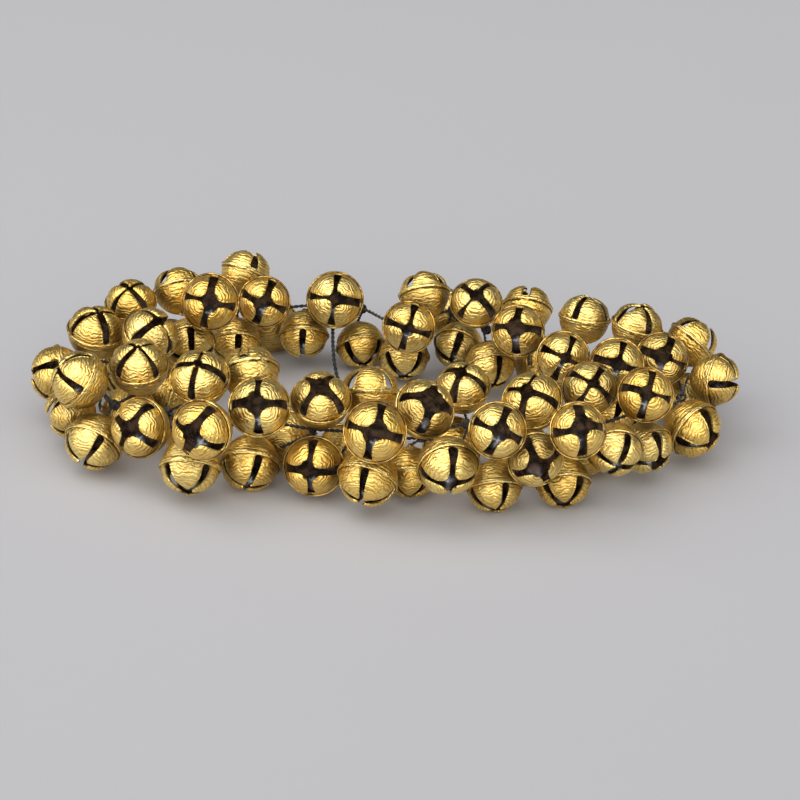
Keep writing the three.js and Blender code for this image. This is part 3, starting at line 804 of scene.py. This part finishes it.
    def dress(
        self, sheet: bmesh.types.BMesh, middle: Vector, near: Sequence[Ball], draws: random.Random
    ) -> None:
        """Dents the sheet, marks it for its finish, paints shade into its creases, round its eyelet and where
        other bells come close, and puts it in its place.

        Args:
            sheet: the bell with its mouth up.
            middle: of the rim.
            near: the bells next to it, which cast the painted shade.
            draws: the bell's random draws.
        """
        layers = sheet.verts.layers
        spot = layers.float_vector.new(Mark.SPOT.value)
        arc, grime, tone = (layers.float.new(mark.value) for mark in (Mark.ARC, Mark.GRIME, Mark.TONE))
        inside = layers.float[Mark.INSIDE.value]
        shift = Vector(draws.uniform(0, SPOT_SHIFT) for _ in range(3))
        shade = draws.random()
        pose, radius = self.pose, self.radius
        lip_out, lip_up = self.lip_zone
        sheet.normal_update()
        for vert in sheet.verts:
            place = vert.co / MM + shift
            out, up = vert.co.xy.length / radius, vert.co.z / radius
            vert[spot] = place
            vert[arc] = self.size / 2 * math.atan2(out, -up)
            # Painted shade in the creases by the lip and round the eyelet at the back
            crease = min(math.hypot(out - x, up - z) for x, z in self.creases)
            back = math.hypot(out, up + 1) if up < 0 else 1.0
            shade_share = max(0.0, 1 - crease / self.crease_width, self.back_shade - back / self.back_reach)
            lip = out > lip_out and abs(up) < lip_up
            vert[tone] = 0.0 if lip else shade
            dent = self.dent * noise.noise(place * DENT_SCALE) * (1 - vert[inside])
            vert.co = middle + pose @ (vert.co + vert.normal * dent)
            vert.co.z = max(vert.co.z, self.floor_sheet * vert[inside])
            # Painted shade on the sides that face other bells close by
            room = min(((vert.co - centre).length - ball for centre, ball in near), default=1.0)
            close = max(0.0, 1 - max(0.0, room) / self.shade_reach)
            shade_share = max(shade_share, self.crowd_shade * close**self.crowd_power)
            vert[grime] = shade_share * (self.lip_shade if lip else 1.0)

    def pellet_rest(self, sheet: bmesh.types.BMesh, middle: Vector, radius: float) -> Vector:
        """Where a pellet comes to rest in the bell.

        Args:
            sheet: the bell in its place.
            middle: of its rim.
            radius: of the pellet.

        Returns:
            The middle of the pellet.
        """
        tree = bvhtree.BVHTree.FromBMesh(sheet)
        spot = middle.copy()
        lowest = middle.z - self.radius
        while spot.z > lowest and tree.find_nearest(spot)[3] > radius + self.pellet_gap:
            spot.z -= self.pellet_step
        return spot


SHUT, OPEN = BellForm.SHUT, BellForm.OPEN

# The fields of each bell, bunch by bunch in their order along the twine
BUNCHES: dict[str, tuple[tuple, ...]] = {
    "back_1": (("B20", LARGE, -90, 27, 37), ("B19", SMALL, -90, -45, 45, SHUT)),
    "back_2": (("B16", SMALL, -85, 25, 20, OPEN), ("H5", LARGE, 80, -20, 0)),
    "back_3": (("B15", SMALL, 60, 50, 0), ("B17", SMALL, -90, -40, 35, SHUT)),
    "left_1": (
        ("A14", LARGE, -95, 30, 35, OPEN), ("A13", SMALL, -80, -20, 45, SHUT), ("A7", SMALL, 106, 43, 0),
        ("H4", LARGE, 135, -25, 30),
    ),
    "left_2": (("A4", SMALL, -90, 71, 0, SHUT), ("H1", LARGE, 160, -20, 20)),
    "left_3": (
        ("A3", LARGE, -36, 76, 20, SHUT), ("A6", LARGE, -37, 56, 45), ("H16", SMALL, 0, -20, 0),
    ),
    "left_4": (
        ("A1", LARGE, -165, 10, 0), ("A15", SMALL, -165, -20, 20), ("H2", LARGE, 10, -15, 40),
    ),
    "left_5": (
        ("A2", LARGE, -162, 38, 45, SHUT), ("A8", LARGE, -114, -29, 5, SHUT), ("A5", LARGE, -90, 76, 0, SHUT),
    ),
    "left_6": (
        ("A9", LARGE, -120, 24, 22, OPEN), ("A12", LARGE, -95, 60, 35, SHUT), ("H3", LARGE, 60, -20, 15),
    ),
    "front_1": (("A10", LARGE, -111, 12, 20, OPEN), ("A11", LARGE, -95, -45, 0)),
    "front_2": (
        ("C24", LARGE, -90, 40, 45, OPEN), ("C64", LARGE, -95, -35, 20, SHUT), ("C23", LARGE, 100, 35, 30),
    ),
    "front_3": (
        ("C25", LARGE, -85, 65, 0, OPEN), ("C62", LARGE, -95, 15, 45, OPEN), ("H14", LARGE, 80, -10, 25),
    ),
    "front_4": (("C26", LARGE, 90, 60, 0), ("H13", SMALL, 80, -15, 30)),
    "front_5": (("C27", LARGE, -90, 27, 30, OPEN), ("C60", LARGE, -110, -35, 35, SHUT)),
    "front_6": (
        ("C52", LARGE, -80, -15, 40, OPEN), ("C28", LARGE, -60, 45, 10, OPEN), ("C61", SMALL, -90, -50, 0),
    ),
    "front_7": (("C39", SMALL, -100, 70, 30), ("H12", LARGE, 100, -15, 10)),
    "front_8": (("C51", SMALL, -90, 27, 20, OPEN), ("C53", SMALL, -85, -45, 25, SHUT)),
    "front_9": (
        ("C54", SMALL, -80, 10, -20, OPEN), ("C50", LARGE, -110, 50, 40), ("H11", LARGE, 90, -10, 0),
    ),
    "front_10": (("C55", SMALL, -80, 30, 45, OPEN), ("C56", SMALL, -85, -40, 10)),
    "right_1": (
        ("D49", SMALL, -90, 40, 10), ("H10", LARGE, 90, -15, 35), ("D57", SMALL, -85, -15, 20, SHUT),
    ),
    "right_2": (("D48", SMALL, -90, 35, 30), ("D58", SMALL, -60, -20, 45)),
    "right_3": (("D46", SMALL, -30, 5, 30, SHUT), ("D47", LARGE, -50, -15, 45, OPEN)),
    "right_4": (
        ("D44", SMALL, -85, 30, 20, OPEN), ("D45", SMALL, 30, 40, 45, SHUT), ("H8", LARGE, 40, -20, 10),
    ),
    "right_5": (
        ("D43", SMALL, -95, 25, 30), ("D42", SMALL, 20, 75, 45, SHUT), ("H9", SMALL, -100, -15, 20),
    ),
    "right_6": (
        ("D40", SMALL, -90, 25, 20), ("D41", SMALL, 60, 75, 45, SHUT), ("H6", LARGE, 60, -20, 30),
    ),
    "right_7": (
        ("D37", SMALL, -90, 35, 40, OPEN), ("D36", SMALL, 80, 40, 45, SHUT), ("H7", LARGE, 60, -20, 0),
    ),
    "back_4": (("B34", SMALL, -90, 50, 0), ("D38", SMALL, -80, -35, 30, SHUT)),
    "back_5": (("B32", SMALL, -110, -20, 30, SHUT), ("B35", SMALL, 90, 10, 0)),
    "back_6": (
        ("B29", SMALL, -95, 20, 30), ("B31", SMALL, -90, -40, 0, SHUT), ("B30", SMALL, 100, 45, 0),
    ),
    "back_7": (("B21", SMALL, -80, -40, 0, SHUT),),
}


@dataclass(frozen=True)
class Finishes:
    """The materials of the string of bells."""

    brass: bpy.types.Material
    iron: bpy.types.Material
    twine: bpy.types.Material


@dataclass(frozen=True)
class Pellets:
    """Loose iron pellets."""

    finishes: Finishes
    radius: float = 3.2 * MM
    dent: float = 0.1 * MM
    dent_scale: float = 400.0
    place_scale: float = 3000.0  # makes the dents of each pellet its own

    def build(self, name: str, places: Sequence[Vector], body: str) -> bpy.types.Object:
        """Makes one piece of pellets.

        Args:
            name: of the piece.
            places: middles of the pellets.
            body: that they ride on.

        Returns:
            The piece.
        """
        whole = bmesh.new()
        for place in places:
            verts = bmesh.ops.create_icosphere(whole, subdivisions=3, radius=self.radius)["verts"]
            for vert in verts:
                dented = noise.noise(vert.co * self.dent_scale + place * self.place_scale)
                vert.co = place + vert.co * (1 + self.dent / self.radius * (dented - 0.5))
        mesh = bpy.data.meshes.new(name)
        whole.to_mesh(mesh)
        whole.free()
        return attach(new_piece(name, mesh, self.finishes.iron), body)


@dataclass(frozen=True)
class Bunch:
    """The bells tied to one place on the twine, with the lashing and the pellets."""

    name: str
    bells: tuple[Bell, ...]
    finishes: Finishes
    knot_radius: float = 1.5 * MM
    knot_length: float = 2.6 * MM
    windings: tuple = ((0.0, 3.6), (1.2, 2.0))  # start angle and turns of the knot's two layers
    winding_steps: int = 16  # in a turn
    outer_reach: float = 1.1  # of the second layer, as a share of the knot's radius
    thread: float = 1.2 * MM
    thread_lead: float = 3.4 * MM
    thread_step: float = 0.4 * MM
    thread_pieces: int = 8  # of its curve, between two points
    eyelet_gap: float = 0.5 * MM
    off_cup: float = 1.0 * MM  # of the thread where it runs round a bell's back
    off_cup_step: float = math.radians(25)

    @property
    def joint(self) -> dict:
        """The CAD joint that the bunch swings on."""
        return next(joint for joint in frame["joints"] if joint["name"] == f"swing_{self.name}")

    @property
    def knot(self) -> Vector:
        """Where the bunch is tied."""
        return Vector(self.joint["pos_m"])

    @property
    def along(self) -> Vector:
        """The twine's direction there."""
        return Vector(self.joint["axis"]).normalized()

    def middles(self) -> list[Vector]:
        """Finds the bells in the CAD solid.

        Returns:
            The middle of each bell's rim.
        """
        vertices = frame["nodes"][f"bells_{self.name}"].data.vertices
        apart = {tuple(round(c, 6) for c in vertex.co): vertex.co.copy() for vertex in vertices}
        places = list(apart.values())
        corners = kdtree.KDTree(len(places))
        for number, place in enumerate(places):
            corners.insert(place, number)
        corners.balance()
        return [bell.middle(corners, places) for bell in self.bells]

    def build(self, middles: Sequence[Vector], crowd: Sequence[Ball]) -> None:
        """Builds the bunch.

        Args:
            middles: of its bells.
            crowd: all the bells of the string.
        """
        body, node = f"bunch_{self.name}", f"bells_{self.name}"
        whole = bmesh.new()
        pellets = Pellets(self.finishes)
        rests = []
        for bell, middle in zip(self.bells, middles):
            sheet = bell.sheet_mesh(middle, crowd)
            rests.append(bell.pellet_rest(sheet, middle, pellets.radius))
            part = bpy.data.meshes.new("part")
            sheet.to_mesh(part)
            sheet.free()
            whole.from_mesh(part)
            bpy.data.meshes.remove(part)
        mesh = bpy.data.meshes.new(f"brass_{self.name}")
        whole.to_mesh(mesh)
        whole.free()
        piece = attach(new_piece(f"brass_{self.name}", mesh, self.finishes.brass), body)
        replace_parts(piece, node)
        self.build_pellets(pellets, rests, body)
        self.build_lashing(middles, body)

    def build_pellets(self, pellets: Pellets, rests: Sequence[Vector], body: str) -> None:
        """Puts a pellet in each bell; the first one's is free to move where the CAD has it.

        Args:
            pellets: their maker.
            rests: where the pellets lie.
            body: of the bunch.
        """
        free = f"pellet_{self.name}"
        if free in frame["nodes"]:
            low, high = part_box(free)
            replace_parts(pellets.build(f"free_{free}", [(low + high) / 2], free), free)
            rests = rests[1:]
        if rests:
            pellets.build(f"inner_{free}", rests, body)

    def thread_points(self, bell: Bell, middle: Vector) -> list[Vector]:
        """The way of a thread from an eyelet to the knot, round the bell's back where that is in the way.

        Args:
            bell: that the thread holds.
            middle: of its rim.

        Returns:
            Points of the way.
        """
        reach = bell.radius + self.off_cup
        back, to_knot = -bell.faces, self.knot - middle
        across = (to_knot - back * to_knot.dot(back)).normalized()
        bend = to_knot.angle(back) - math.acos(min(1.0, reach / to_knot.length))
        count = max(0, math.ceil(bend / self.off_cup_step))
        points = [middle + back * (bell.radius + self.eyelet_gap)]
        for number in range(1, count + 1):
            angle = bend * number / count
            points.append(middle + (back * math.cos(angle) + across * math.sin(angle)) * reach)
        away = points[-1] - self.knot
        away -= self.along * away.dot(self.along)
        return [*points, self.knot + away.normalized() * self.knot_radius]

    def build_lashing(self, middles: Sequence[Vector], body: str) -> None:
        """Winds the knot and ties the eyelets to it.

        Args:
            middles: of the bells.
            body: of the bunch.
        """
        along = self.along
        side = along.orthogonal().normalized()
        other = along.cross(side)
        strands = []
        for start, turns in self.windings:
            steps = int(self.winding_steps * turns)
            line = []
            for step in range(steps + 1):
                angle = 2 * math.pi * turns * step / steps + start
                run = self.knot_length * (step / steps - 0.5)
                if start:
                    run = 0.5 * self.knot_length * math.sin(angle)
                reach = self.knot_radius * (self.outer_reach if start else 1.0)
                out = (side * math.cos(angle) + other * math.sin(angle)) * reach
                line.append(self.knot + along * run + out)
            strands.append(line)
        for bell, middle in zip(self.bells, middles):
            points = self.thread_points(bell, middle)
            path = spaced(smooth_path(points, slopes_of(points), self.thread_pieces), self.thread_step)
            strands += plies(path, self.thread, self.thread_lead)
        lines = [line for line in strands if len(line) > 1]
        mesh = strand_mesh(f"lashing_{self.name}", lines, self.thread / 2)
        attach(new_piece(f"lashing_{self.name}", mesh, self.finishes.twine), body)


@dataclass(frozen=True)
class Twine:
    """The core twine, the knot that closes its loop and the loose end."""

    finishes: Finishes
    width: float = 1.4 * MM
    lead: float = 4.2 * MM
    step: float = 0.55 * MM
    pieces: int = 12  # of its curve, between two knots
    tie_room: float = 2.4 * MM  # from the tie's middle to each end of the core
    tie_width: float = 1.6 * MM
    tie_scale: float = 0.76 * MM
    tie_depth: float = 1.6  # in that scale
    tie_steps: int = 72
    tail_width: float = 1.6 * MM
    tail_lead: float = 3.6 * MM
    tail_step: float = 0.4 * MM
    tail_pieces: int = 10
    tail_start: float = 3.5 * MM  # from the tie's middle
    tail_length: float = 46 * MM
    tie_place: tuple[float, float, float] = (-21.8, 73, 24.3)  # mm, in the frame of the tail's points
    tail_points: tuple[tuple[float, float, float], ...] = (
        (-25.5, 66, 20.5), (-26, 60, 18), (-25.8, 55.5, 13.5), (-25.2, 52.5, 8.5), (-24, 50, 3.6),
        (-22, 46.5, 1.7), (-18.5, 42.5, 1.5), (-14, 39.5, 1.5),
    )

    @property
    def tie(self) -> Vector:
        """The middle of the tie knot."""
        low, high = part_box("tie_knot")
        return (low + high) / 2

    @property
    def shift(self) -> Vector:
        """From the frame of the tail's points to that of the part."""
        return self.tie - Vector(self.tie_place) * MM

    def build_core(self, bunches: Sequence[Bunch]) -> None:
        """Lays the core twine through the knots.

        Args:
            bunches: in their order along it.
        """
        aside = Vector((self.tie_room, 0, 0))
        points = [self.tie - aside, *(bunch.knot for bunch in bunches), self.tie + aside]
        slopes = slopes_of(points)
        slopes[1:-1] = [bunch.along for bunch in bunches]
        path = spaced(smooth_path(points, slopes, self.pieces), self.step)
        mesh = strand_mesh("core_twine", plies(path, self.width, self.lead), self.width / 2)
        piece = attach(new_piece("core_twine", mesh, self.finishes.twine), "string")
        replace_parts(piece, "core_cord")

    def build_tie(self) -> None:
        """Ties the knot, as a closed loop that passes through itself."""
        line = []
        for step in range(self.tie_steps + 1):
            turn = 2 * math.pi * step / self.tie_steps
            x, z = math.sin(turn) + 2 * math.sin(2 * turn), math.cos(turn) - 2 * math.cos(2 * turn)
            y = -math.sin(3 * turn) * self.tie_depth
            line.append(self.tie + Vector((x, y, z)) * self.tie_scale)
        mesh = strand_mesh("tie", [line], self.tie_width)
        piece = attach(new_piece("tie", mesh, self.finishes.twine), "string")
        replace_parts(piece, "tie_knot")

    def build_tail(self) -> None:
        """Hangs the loose end of the twine below the tie."""
        start = self.tie + Vector((0, -1, -1)).normalized() * self.tail_start
        points = [start, *(Vector(point) * MM + self.shift for point in self.tail_points)]
        path = spaced(smooth_path(points, slopes_of(points), self.tail_pieces), self.tail_step)
        mesh = strand_mesh("tail", plies(path, self.tail_width, self.tail_lead), self.tail_width / 2)
        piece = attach(new_piece("tail", mesh, self.finishes.twine), "string")
        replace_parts(piece, "cord_tail")


@dataclass(frozen=True)
class Lamp:
    """One soft box: where it stands, its size and its power."""

    name: str
    place: tuple[float, float, float]
    size: tuple[float, float]
    power: float

    def build(self, aim: Vector) -> None:
        """Sets up the lamp.

        Args:
            aim: the point that it lights.
        """
        light = bpy.data.lights.new(self.name, "AREA")
        light.shape = "RECTANGLE"
        light.size, light.size_y = self.size
        light.energy = self.power
        lamp = bpy.data.objects.new(self.name, light)
        lamp.location = self.place
        lamp.rotation_euler = (aim - Vector(self.place)).to_track_quat("-Z", "Y").to_euler()
        bpy.context.scene.collection.objects.link(lamp)


@dataclass(frozen=True)
class Studio:
    """The floor, the lamp, the sky and the camera."""

    view_down: float = 27.0  # degrees
    distance: float = 0.953
    focal_pixels: float = 2600.0
    picture: float = 800.0
    sensor: float = 36.0  # mm
    floor_size: float = 12.0
    bright_side: tuple[float, float, float] = (-0.25, -0.82, 0.52)  # to the middle of the sky's bright part
    bright_edge: tuple[float, float] = (0.0, 0.75)  # cosines where that part begins and where it is full
    dim_sky: float = 0.12
    bright_sky: float = 2.05
    lamp: Lamp = Lamp("key", (-0.4, -0.1, 0.95), (0.6, 0.6), 1.6)
    lamp_aim: tuple[float, float, float] = (0.0, 0.0, 0.02)

    def build(self, aim: Vector) -> None:
        """Sets the stage.

        Args:
            aim: the point in the middle of the picture.
        """
        scene = bpy.context.scene
        scene.view_settings.view_transform = "Standard"
        self.build_camera(aim)
        self.build_floor()
        self.lamp.build(Vector(self.lamp_aim))
        self.build_sky()

    def build_sky(self) -> None:
        """Lights the stage all round, most from a broad soft part of the sky in front."""
        world = bpy.data.worlds.new("studio")
        world.use_nodes = True
        graph = Graph(world.node_tree)
        way = graph.add("ShaderNodeTexCoord").outputs["Generated"]
        side = Vector(self.bright_side).normalized()
        product = graph.add("ShaderNodeVectorMath", {0: way, 1: side}, operation="DOT_PRODUCT")
        facing = product.outputs["Value"]
        sky = world.node_tree.nodes["Background"].inputs
        sky["Color"].default_value = (1.0, 1.0, 1.0, 1.0)
        strength = graph.span(facing, *self.bright_edge, self.dim_sky, self.bright_sky)
        graph.tree.links.new(strength, sky["Strength"])
        bpy.context.scene.world = world

    def build_camera(self, aim: Vector) -> None:
        """Sets the camera at the photograph's angle.

        Args:
            aim: the point in the middle of the picture.
        """
        data = bpy.data.cameras.new("camera")
        data.sensor_width = self.sensor
        data.lens = data.sensor_width * self.focal_pixels / self.picture
        camera = bpy.data.objects.new("camera", data)
        down = math.radians(self.view_down)
        ahead = Vector((0, math.cos(down), -math.sin(down)))
        camera.location = aim - ahead * self.distance
        camera.rotation_euler = ahead.to_track_quat("-Z", "Y").to_euler()
        bpy.context.scene.collection.objects.link(camera)
        bpy.context.scene.camera = camera

    def build_floor(self) -> None:
        """Lays the floor."""
        whole = bmesh.new()
        bmesh.ops.create_grid(whole, x_segments=8, y_segments=8, size=self.floor_size / 2)
        mesh = bpy.data.meshes.new("floor")
        whole.to_mesh(mesh)
        whole.free()
        mesh.materials.append(FloorFinish().build())
        floor = bpy.data.objects.new("floor", mesh)
        bpy.context.scene.collection.objects.link(floor)


def main() -> None:
    """Builds the string of bells in order and lights it."""
    logging.basicConfig(level=logging.INFO)
    finishes = Finishes(BrassFinish().build(), IronFinish().build(), TwineFinish().build())
    twine = Twine(finishes)
    Studio().build(twine.shift + UP * AIM_HEIGHT)
    bunches = [
        Bunch(name, tuple(Bell(*row) for row in rows), finishes) for name, rows in BUNCHES.items()
    ]
    twine.build_core(bunches)
    twine.build_tie()
    twine.build_tail()
    places = [bunch.middles() for bunch in bunches]
    crowd = [
        (middle, bell.radius)
        for bunch, middles in zip(bunches, places) for bell, middle in zip(bunch.bells, middles)
    ]
    for bunch, middles in zip(bunches, places):
        bunch.build(middles, crowd)


if __name__ == "__main__":
    main()
